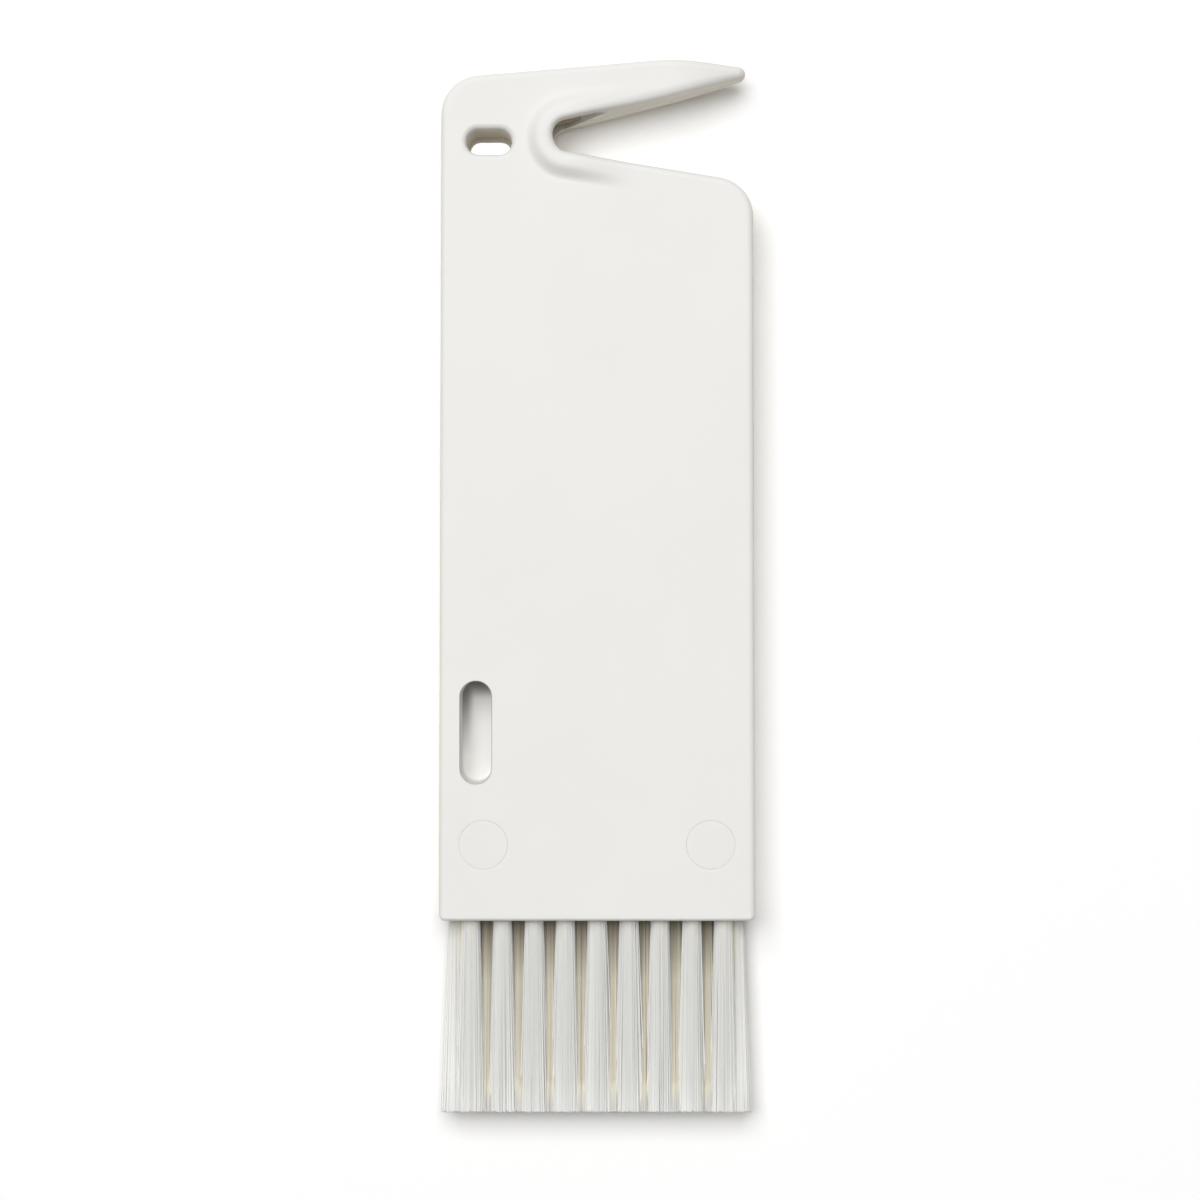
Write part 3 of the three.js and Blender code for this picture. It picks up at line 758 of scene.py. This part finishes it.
def recess_shadow_abs():
    # The same ABS on the recess's floor with a painted shadow: dull grey with specks of about 0.3 mm
    # at the end towards the hook, thinning out along the left wall, plain white elsewhere.
    finish, tree = finish_named("recess_painted_shadow_abs")
    where = add(tree, 'ShaderNodeTexCoord')
    apart = add(tree, 'ShaderNodeSeparateXYZ', links={"Vector": where.outputs["Object"]})
    soft = {"interpolation_type": 'SMOOTHSTEP'}
    lit_end = add(tree, 'ShaderNodeMapRange', soft,
                    {"From Min": (recess.y + shadow_end.y) * MM, "From Max": (recess.y + shadow_end.x) * MM},
                    {"Value": apart.outputs["Y"]})
    wall_side = add(tree, 'ShaderNodeMapRange', soft,
                    {"From Min": (recess.x - shadow_side.x) * MM, "From Max": (recess.x - shadow_side.y) * MM},
                    {"Value": apart.outputs["X"]})
    thins_out = add(tree, 'ShaderNodeMapRange',
                    values={"From Min": (recess.y + shadow_run_out.x) * MM,
                            "From Max": (recess.y + shadow_run_out.y) * MM},
                    links={"Value": apart.outputs["Y"]})
    shadow_streak = add(tree, 'ShaderNodeMath', {"operation": 'MULTIPLY'},
                 links={0: wall_side.outputs["Result"], 1: thins_out.outputs["Result"]})
    lit_side = add(tree, 'ShaderNodeMath', {"operation": 'SUBTRACT'}, {0: 1.0},
                     {1: shadow_streak.outputs["Value"]})
    unshaded = add(tree, 'ShaderNodeMath', {"operation": 'MULTIPLY'},
                links={0: lit_end.outputs["Result"], 1: lit_side.outputs["Value"]})
    shadow_mottle = add(tree, 'ShaderNodeTexNoise', values={"Scale": per_metre(0.3), "Detail": 3.0},
                 links={"Vector": where.outputs["Object"]})
    shadow_grey = add(tree, 'ShaderNodeMix', {"data_type": 'RGBA'}, {6: tone("#94928D"), 7: tone("#A2A09B")},
               {0: shadow_mottle.outputs["Fac"]})
    colour = add(tree, 'ShaderNodeMix', {"data_type": 'RGBA'}, {7: tone("#EBEAE7")},
                 {0: unshaded.outputs["Value"], 6: shadow_grey.outputs[2]})
    gloss = add(tree, 'ShaderNodeMapRange', values={"To Min": 0.9, "To Max": 0.6},
                links={"Value": unshaded.outputs["Value"]})
    surface = add(tree, 'ShaderNodeBsdfPrincipled', values={"IOR": 1.54},
                  links={"Base Color": colour.outputs[2], "Roughness": gloss.outputs["Result"]})
    add(tree, 'ShaderNodeOutputMaterial', links={"Surface": surface.outputs["BSDF"]})
    return finish


def drawn_nylon():
    # Drawn nylon 612 filament, undyed: milky and a little glossy along its length, each filament slightly
    # its own shade. Painted light and shade: white at a tuft's sides, pale grey in its middle, and brown then
    # straw deep between the tufts, where shade falls.
    finish, tree = finish_named("drawn_nylon_filament")
    shade = add(tree, 'ShaderNodeAttribute', {"attribute_name": "filament_tone_and_shade"})
    rise = add(tree, 'ShaderNodeMapRange', values={"From Max": 0.5}, links={"Value": shade.outputs["Fac"]})
    deep = add(tree, 'ShaderNodeMix', {"data_type": 'RGBA'}, {6: tone("#695D4A"), 7: tone("#E5E0CE")},
               {0: rise.outputs["Result"]})
    clear = add(tree, 'ShaderNodeMapRange', values={"From Min": 0.5, "From Max": 0.75},
                links={"Value": shade.outputs["Fac"]})
    core = add(tree, 'ShaderNodeMix', {"data_type": 'RGBA'}, {7: tone("#DCDCD9")},
               {0: clear.outputs["Result"], 6: deep.outputs[2]})
    edge = add(tree, 'ShaderNodeMapRange', values={"From Min": 0.75}, links={"Value": shade.outputs["Fac"]})
    colour = add(tree, 'ShaderNodeMix', {"data_type": 'RGBA'}, {7: tone("#FCFCF9")},
                 {0: edge.outputs["Result"], 6: core.outputs[2]})
    gloss = add(tree, 'ShaderNodeMapRange', values={"To Min": 0.6, "To Max": 0.45},
                links={"Value": shade.outputs["Fac"]})
    surface = add(tree, 'ShaderNodeBsdfPrincipled', values={"IOR": 1.53},
                  links={"Base Color": colour.outputs[2], "Roughness": gloss.outputs["Result"]})
    add(tree, 'ShaderNodeOutputMaterial', links={"Surface": surface.outputs["BSDF"]})
    return finish


def moulded_polypropylene():
    # Moulded and drilled polypropylene: a waxy, duller white than the handle with faint drill scuffs.
    finish, tree = finish_named("moulded_polypropylene")
    where = add(tree, 'ShaderNodeTexCoord')
    scuff = add(tree, 'ShaderNodeTexNoise', values={"Scale": per_metre(0.8), "Detail": 4.0},
                links={"Vector": where.outputs["Object"]})
    colour = add(tree, 'ShaderNodeMix', {"data_type": 'RGBA'}, {6: tone("#D8D4CB"), 7: tone("#E9E7E1")},
                 {0: scuff.outputs["Fac"]})
    gloss = add(tree, 'ShaderNodeMapRange', values={"To Min": 0.5, "To Max": 0.65},
                links={"Value": scuff.outputs["Fac"]})
    surface = add(tree, 'ShaderNodeBsdfPrincipled', values={"IOR": 1.49},
                  links={"Base Color": colour.outputs[2], "Roughness": gloss.outputs["Result"]})
    add(tree, 'ShaderNodeOutputMaterial', links={"Surface": surface.outputs["BSDF"]})
    return finish


def ground_steel(name, pale, deep, scratch):
    # Ground or rolled steel strip: a mirror broken up by fine lines along the strip, grey
    # or brown.
    finish, tree = finish_named(name)
    where = add(tree, 'ShaderNodeTexCoord')
    strip = add(tree, 'ShaderNodeMapping',
                values={"Rotation": (0, 0, math.radians(-arm_angle)), "Scale": (0.03, 1, 1)},
                links={"Vector": where.outputs["Object"]})
    lines = add(tree, 'ShaderNodeTexNoise', values={"Scale": per_metre(scratch), "Detail": 3.0},
                links={"Vector": strip.outputs["Vector"]})
    colour = add(tree, 'ShaderNodeMix', {"data_type": 'RGBA'}, {6: tone(deep), 7: tone(pale)},
                 {0: lines.outputs["Fac"]})
    gloss = add(tree, 'ShaderNodeMapRange', values={"To Min": 0.2, "To Max": 0.4},
                links={"Value": lines.outputs["Fac"]})
    relief = add(tree, 'ShaderNodeBump', values={"Strength": 0.2, "Distance": 0.005 * MM},
                 links={"Height": lines.outputs["Fac"]})
    surface = add(tree, 'ShaderNodeBsdfPrincipled', values={"Metallic": 1.0},
                  links={"Base Color": colour.outputs[2], "Roughness": gloss.outputs["Result"],
                         "Normal": relief.outputs["Normal"]})
    add(tree, 'ShaderNodeOutputMaterial', links={"Surface": surface.outputs["BSDF"]})
    return finish


shell_abs = moulded_abs("moulded_white_abs", "#EDECE9", "#E9E8E5")
pin_abs = moulded_abs("moulded_pin_abs", "#ECEBE8", "#E8E7E4")
recess_shadow_finish = recess_shadow_abs()
nylon = drawn_nylon()
polypropylene = moulded_polypropylene()
blade_steel = ground_steel("brown_blade_steel", "#8A7B64", "#665A4A", 0.06)
anchor_steel = ground_steel("rolled_anchor_steel", "#BDB9AE", "#8E8A80", 0.1)


def dress(piece, finish, slot_name, *nodes):
    """A new piece: its finish, its body, and the solids that it stands for."""
    piece.data.materials.clear()
    piece.data.materials.append(finish)
    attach(piece, "root")
    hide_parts(*nodes)


dress(front_shell, shell_abs, "shell_abs", "front_shell")
dress(rear_shell, shell_abs, "shell_abs", "rear_shell")
dress(pin_left, pin_abs, "pin_abs", "retaining_pin_left")
dress(pin_right, pin_abs, "pin_abs", "retaining_pin_right")
dress(insert, polypropylene, "insert_pp", "brush_block")
dress(front_bristles, nylon, "bristle_nylon", "bristles_front_row")
dress(rear_bristles, nylon, "bristle_nylon", "bristles_rear_row")

# Painted shadow greys one corner of the recess's floor.
rear_shell.data.materials.append(recess_shadow_finish)
for face in rear_shell.data.polygons:
    spot = face.center / MM
    in_plan = abs(spot.x - recess.x) < recess_size.x / 2 and abs(spot.y - recess.y) < recess_size.y / 2
    if in_plan and back_z + seam_chamfer < spot.z < face_z - recess_run_out + recess_foot:
        face.material_index = 1

for name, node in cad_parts.items():
    if name == "cutter_blade" or name.startswith("tuft_anchor"):
        node.data.materials.clear()
        node.data.materials.append(blade_steel if name == "cutter_blade" else anchor_steel)


# Floor, light and camera

floor_drop = 0.03  # below the back face
hole_middle = cord_hole - Vector((0, 0.3))  # middle of the painted light patch on the paper under the cord hole
hole_light_patch = Vector((1.25, 1.4))  # radii where its white starts to fade and has gone
camera_place = (0.00038, -0.00174, 0.380)

bpy.ops.object.select_all(action='DESELECT')
bpy.ops.mesh.primitive_plane_add(size=4, location=(0, 0, (back_z - floor_drop) * MM))
floor = bpy.context.object
floor.name = "floor"
paper, tree = finish_named("white_paper")
path = add(tree, 'ShaderNodeLightPath')
seen = add(tree, 'ShaderNodeMath', {"operation": 'MAXIMUM'},
           links={0: path.outputs["Is Camera Ray"], 1: path.outputs["Is Glossy Ray"]})
plain = add(tree, 'ShaderNodeBsdfDiffuse', values={"Color": tone("#EDE3CF")})
lifted = add(tree, 'ShaderNodeBsdfDiffuse', values={"Color": (1.03, 1.03, 1.03, 1)})
# Painted light: under the cord hole the paper glows for camera and glossy rays, so the shadow there shows
# white.
where = add(tree, 'ShaderNodeTexCoord')
middle = add(tree, 'ShaderNodeVectorMath', {"operation": 'SUBTRACT'}, {1: (*(hole_middle * MM), 0)},
             {0: where.outputs["Object"]})
folded = add(tree, 'ShaderNodeVectorMath', {"operation": 'ABSOLUTE'}, links={0: middle.outputs["Vector"]})
beyond = add(tree, 'ShaderNodeVectorMath', {"operation": 'SUBTRACT'},
             {1: ((cord_hole_size.x - cord_hole_size.y) / 2 * MM, 0, 0)}, {0: folded.outputs["Vector"]})
ends = add(tree, 'ShaderNodeVectorMath', {"operation": 'MAXIMUM'}, {1: (0, 0, 0)},
           {0: beyond.outputs["Vector"]})
from_hole = add(tree, 'ShaderNodeVectorMath', {"operation": 'LENGTH'}, links={0: ends.outputs["Vector"]})
painted_light = add(tree, 'ShaderNodeMapRange',
            values={"From Min": hole_light_patch.x * MM, "From Max": hole_light_patch.y * MM,
                    "To Min": 0.95, "To Max": 0.03},
            links={"Value": from_hole.outputs["Value"]})
patch_glow = add(tree, 'ShaderNodeEmission', values={"Color": (1, 1, 1, 1)},
           links={"Strength": painted_light.outputs["Result"]})
white = add(tree, 'ShaderNodeAddShader', links={0: lifted.outputs[0], 1: patch_glow.outputs[0]})
sheet = add(tree, 'ShaderNodeMixShader', links={0: seen.outputs[0], 1: plain.outputs[0], 2: white.outputs[0]})
add(tree, 'ShaderNodeOutputMaterial', links={"Surface": sheet.outputs[0]})
floor.data.materials.append(paper)

world = bpy.data.worlds.new("soft_studio")
scene.world = world
world.use_nodes = True
tree = world.node_tree
tree.nodes.clear()
path = add(tree, 'ShaderNodeLightPath')
seen = add(tree, 'ShaderNodeMath', {"operation": 'MAXIMUM'},
           links={0: path.outputs["Is Camera Ray"], 1: path.outputs["Is Glossy Ray"]})
seen = add(tree, 'ShaderNodeMath', {"operation": 'MAXIMUM'},
           links={0: seen.outputs[0], 1: path.outputs["Is Transmission Ray"]})
fill = add(tree, 'ShaderNodeBackground', values={"Color": (1, 1, 1, 1), "Strength": 0.24})
white = add(tree, 'ShaderNodeBackground', values={"Color": (1, 1, 1, 1), "Strength": 1.0})
sky = add(tree, 'ShaderNodeMixShader', links={0: seen.outputs[0], 1: fill.outputs[0], 2: white.outputs[0]})
add(tree, 'ShaderNodeOutputWorld', links={"Surface": sky.outputs[0]})


def softbox(name, lean, side_lean, distance, size, energy):
    """A lamp aimed at the tool from a lean towards the hook and a lean towards the left, in degrees."""
    tilt = (math.radians(-lean), math.radians(-side_lean), 0)
    place = Euler(tilt).to_matrix() @ Vector((0, 0, distance))
    bpy.ops.object.light_add(type='AREA', location=place, rotation=tilt)
    lamp = bpy.context.object
    lamp.name = name
    lamp.data.shape = 'RECTANGLE'
    lamp.data.size, lamp.data.size_y = size
    lamp.data.energy = energy


softbox("strip_softbox", lean=11, side_lean=8, distance=3.0, size=(2.3, 0.95), energy=41.8)
softbox("low_softbox", lean=30, side_lean=8, distance=3.0, size=(2.3, 1.1), energy=34.7)

bpy.ops.object.camera_add(location=camera_place, rotation=(0, 0, 0))
camera = bpy.context.object
camera.data.lens = 87.6
camera.data.sensor_width = 36
camera.data.clip_start = 0.01
scene.camera = camera
